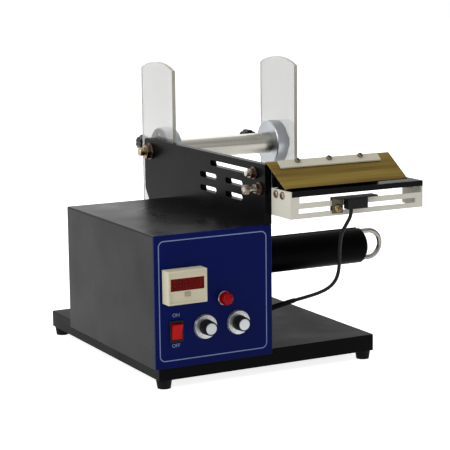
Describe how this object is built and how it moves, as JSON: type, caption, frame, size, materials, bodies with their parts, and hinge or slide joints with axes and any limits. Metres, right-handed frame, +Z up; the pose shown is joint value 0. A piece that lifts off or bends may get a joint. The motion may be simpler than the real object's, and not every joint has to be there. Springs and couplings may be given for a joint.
{
  "type": "label dispensing machine",
  "caption": "Table-top label peeler: a driven roller pulls backing paper over a sloping peel sheet from a roll held between clear guides, beside a boxed control panel.",
  "frame": {"origin": "on the table, at the centre of the four feet", "axes": "+Z up, the control panel faces -Y, +X to the operator's right, where the rolls stand out"},
  "size_m": [0.3397, 0.41, 0.327],
  "materials": {
    "tray_paint": "satin black powder coat",
    "cover_paint": "semi-gloss black powder coat",
    "panel_film": "navy printed film on sheet metal",
    "plate_black": "black anodised plate",
    "black_rubber": "moulded, matt",
    "zinc_steel": "bright zinc plated",
    "yellow_zinc": "yellow passivated",
    "counter_cream": "fine-textured moulded case",
    "window_red": "clear red filter",
    "display_board": "dark display module",
    "key_plastic": "moulded key",
    "lamp_metal": "bright plated",
    "lamp_red": "moulded red lens",
    "switch_black": "moulded switch frame",
    "switch_red": "moulded red rocker",
    "pot_metal": "pressed can",
    "knob_metal": "turned and brushed",
    "knob_black": "ribbed grip",
    "motor_metal": "plated motor case",
    "bearing_steel": "ground rings",
    "shaft_steel": "ground steel",
    "roller_black": "black anodised, turned",
    "clip_steel": "bright drawn wire",
    "tube_silver": "satin drawn tube",
    "bush_plastic": "natural bearing plastic",
    "collar_silver": "turned, brushed face",
    "strip_clear": "clear acrylic with polished edges",
    "thumb_black": "moulded knob on a steel screw",
    "bracket_cream": "cream enamel",
    "bar_black": "satin black",
    "sheet_gold": "gold anodised sheet",
    "clamp_cream": "cream enamel",
    "sensor_black": "moulded case",
    "holder_black": "black coated sheet",
    "cable_black": "round sheathed cable",
    "supply_case": "vented power supply case",
    "board_green": "populated circuit board",
    "inlet_black": "moulded inlet"
  },
  "bodies": {
    "machine_frame": {"base_tray": "tray_paint", "rubber_feet": "black_rubber", "plate_screws": "zinc_steel", "housing_cover": "cover_paint", "cover_screws": "zinc_steel", "front_panel": "panel_film", "panel_nuts": "zinc_steel", "side_plate": "plate_black", "counter_case": "counter_cream", "counter_window": "window_red", "counter_display": "display_board", "lamp_bezel": "lamp_metal", "lamp_lens": "lamp_red", "rocker_frame": "switch_black", "left_pot": "pot_metal", "right_pot": "pot_metal", "pot_nuts": "zinc_steel", "gearbox": "motor_metal", "motor_can": "motor_metal", "gearbox_screws": "zinc_steel", "shaft_bearing": "bearing_steel", "supply_axle": "shaft_steel", "axle_nuts": "yellow_zinc", "peel_bracket": "bracket_cream", "bracket_screws": "zinc_steel", "peel_bar": "bar_black", "peel_sheet": "sheet_gold", "clamp_strip": "clamp_cream", "clamp_screws": "zinc_steel", "head_bolts": "zinc_steel", "head_nuts": "zinc_steel", "head_washers": "zinc_steel", "sensor_cable": "cable_black", "cable_relief": "black_rubber", "power_supply": "supply_case", "control_board": "board_green", "power_inlet": "inlet_black"},
    "power_rocker_button": {"rocker_button": "switch_red"},
    "counter_reset_key": {"counter_key": "key_plastic"},
    "left_knob": {"left_knob_core": "knob_metal", "left_knob_grip": "knob_black"},
    "right_knob": {"right_knob_core": "knob_metal", "right_knob_grip": "knob_black"},
    "rewind": {"rewind_shaft": "shaft_steel", "rewind_roller": "roller_black"},
    "liner_wire": {"liner_clip": "clip_steel"},
    "supply": {"supply_tube": "tube_silver", "supply_bushes": "bush_plastic"},
    "left_guide": {"left_collar": "collar_silver", "left_strip": "strip_clear", "left_strip_screws": "zinc_steel"},
    "left_thumb": {"left_thumbscrew": "thumb_black"},
    "right_guide": {"right_collar": "collar_silver", "right_strip": "strip_clear", "right_strip_screws": "zinc_steel"},
    "right_thumb": {"right_thumbscrew": "thumb_black"},
    "sensor": {"sensor_body": "sensor_black", "sensor_holder": "holder_black", "sensor_screw": "zinc_steel"}
  },
  "joints": [
    {"name": "rewind_spin", "type": "hinge", "parent": "machine_frame", "child": "rewind", "pos_m": [0, -0.069, 0.1159], "axis": [1, 0, 0], "continuous": true},
    {"name": "liner_clip_pull", "type": "slide", "parent": "rewind", "child": "liner_wire", "axis": [1, 0, 0], "range_m": [0, 0.11]},
    {"name": "supply_spin", "type": "hinge", "parent": "machine_frame", "child": "supply", "pos_m": [0, 0.1321, 0.218], "axis": [1, 0, 0], "continuous": true},
    {"name": "left_guide_slide", "type": "slide", "parent": "supply", "child": "left_guide", "axis": [1, 0, 0], "range_m": [0, 0.06]},
    {"name": "left_thumbscrew_turn", "type": "hinge", "parent": "left_guide", "child": "left_thumb", "pos_m": [0.0163, 0.1321, 0.218], "axis": [0, 0.9994, 0.0349], "range_deg": [0, 360]},
    {"name": "right_guide_slide", "type": "slide", "parent": "supply", "child": "right_guide", "axis": [-1, 0, 0], "range_m": [0, 0.06]},
    {"name": "right_thumbscrew_turn", "type": "hinge", "parent": "right_guide", "child": "right_thumb", "pos_m": [0.1658, 0.1321, 0.218], "axis": [0, 1, 0], "range_deg": [0, 360]},
    {"name": "power_rocker", "type": "hinge", "parent": "machine_frame", "child": "power_rocker_button", "pos_m": [-0.1159, -0.154, 0.0634], "axis": [-1, 0, 0], "range_deg": [0, 20]},
    {"name": "left_knob_turn", "type": "hinge", "parent": "machine_frame", "child": "left_knob", "pos_m": [-0.0816, -0.154, 0.0645], "axis": [0, -1, 0], "range_deg": [-150, 150]},
    {"name": "right_knob_turn", "type": "hinge", "parent": "machine_frame", "child": "right_knob", "pos_m": [-0.0416, -0.154, 0.0645], "axis": [0, -1, 0], "range_deg": [-150, 150]},
    {"name": "counter_reset", "type": "slide", "parent": "machine_frame", "child": "counter_reset_key", "axis": [0, 1, 0], "range_m": [0, 0.0015], "stiffness_N_per_m": 400},
    {"name": "sensor_slide", "type": "slide", "parent": "machine_frame", "child": "sensor", "axis": [1, 0, 0], "range_m": [-0.03, 0.055]}
  ]
}
